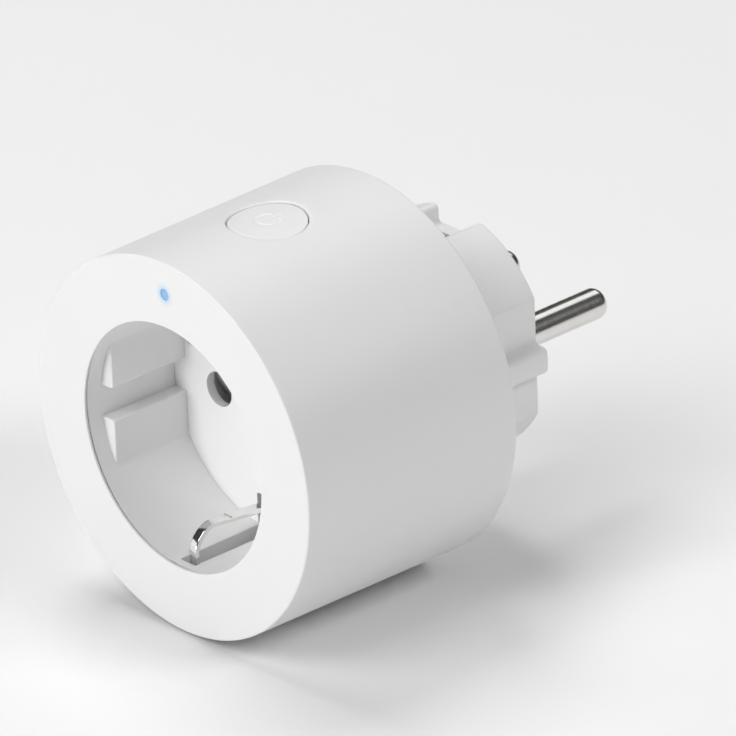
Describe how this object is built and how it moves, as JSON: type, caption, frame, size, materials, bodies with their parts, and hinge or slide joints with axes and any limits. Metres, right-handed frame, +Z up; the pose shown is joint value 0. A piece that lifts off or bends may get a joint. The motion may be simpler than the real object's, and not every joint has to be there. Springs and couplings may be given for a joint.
{
  "type": "smart plug",
  "caption": "Round white mains smart plug: a recessed side-earthed socket in front, a matching plug behind, a flush push button on top and a status light in the front ring.",
  "frame": {"origin": "centre of the rear face that rests on the wall socket, on the axis of the round body", "axes": "+Z up, towards the push button; -Y out of the front socket, away from the wall; +Y along the plug pins, into the wall; +X to the right seen from the front"},
  "size_m": [0.0604, 0.0765, 0.0604],
  "materials": {
    "white_shell": "fine moulded satin",
    "white_insert": "smooth satin",
    "white_button": "fine moulded satin",
    "ivory_plastic": "flame-proof moulding",
    "grey_shutter": "smooth",
    "nickel": "bright nickel plate",
    "pin_metal": "nickel-plated brass",
    "brass": "stamped strip",
    "spring_steel": "drawn wire",
    "screw_steel": "zinc plate",
    "green_board": "solder mask",
    "black_plastic": "moulded",
    "chip_black": "moulded epoxy",
    "blue_epoxy": "dipped epoxy",
    "film_cap": "moulded box",
    "cap_sleeve": "shrink sleeve",
    "ferrite": "sintered",
    "fuse_body": "moulded",
    "shunt_alloy": "bare strip",
    "tinned_steel": "tin plate",
    "copper": "printed track",
    "led_body": "clear epoxy",
    "light_blue": "clear light pipe, lit"
  },
  "bodies": {
    "housing": {"front_housing": "white_shell", "socket_liner": "white_insert", "socket_floor": "white_insert", "shutter_spring": "spring_steel", "contact_carrier": "ivory_plastic", "carrier_screws": "screw_steel", "live_contact": "brass", "neutral_contact": "brass", "earth_clip": "nickel", "earth_link": "tinned_steel", "rear_cover": "white_shell", "plug_body": "white_shell", "live_pin": "pin_metal", "neutral_pin": "pin_metal", "live_terminal": "brass", "neutral_terminal": "brass", "rear_earth_bracket": "nickel", "earth_pin_sleeve": "nickel", "housing_screws": "screw_steel", "main_board": "green_board", "relay": "black_plastic", "film_capacitor": "film_cap", "bulk_capacitor": "cap_sleeve", "filter_choke": "ferrite", "varistor": "blue_epoxy", "fuse": "fuse_body", "bridge_rectifier": "chip_black", "power_chip": "chip_black", "current_shunt": "shunt_alloy", "board_header": "black_plastic", "wireless_board": "green_board", "shield_can": "tinned_steel", "antenna": "copper", "switch_base": "black_plastic", "status_led": "led_body", "light_pipe": "light_blue"},
    "button": {"button_cap": "white_button", "switch_plunger": "brass"},
    "entry_shutter": {"shutter": "grey_shutter"}
  },
  "joints": [
    {"name": "button_press", "type": "slide", "parent": "housing", "child": "button", "axis": [0, 0, -1], "range_m": [0, 0.0004], "stiffness_N_per_m": 600, "springref_m": -0.0005},
    {"name": "shutter_turn", "type": "hinge", "parent": "housing", "child": "entry_shutter", "pos_m": [0, -0.019, 0], "axis": [0, 1, 0], "range_deg": [0, 38], "stiffness_Nm_per_rad": 0.003, "springref_deg": -17.19, "deforming": ["shutter_spring"]}
  ]
}
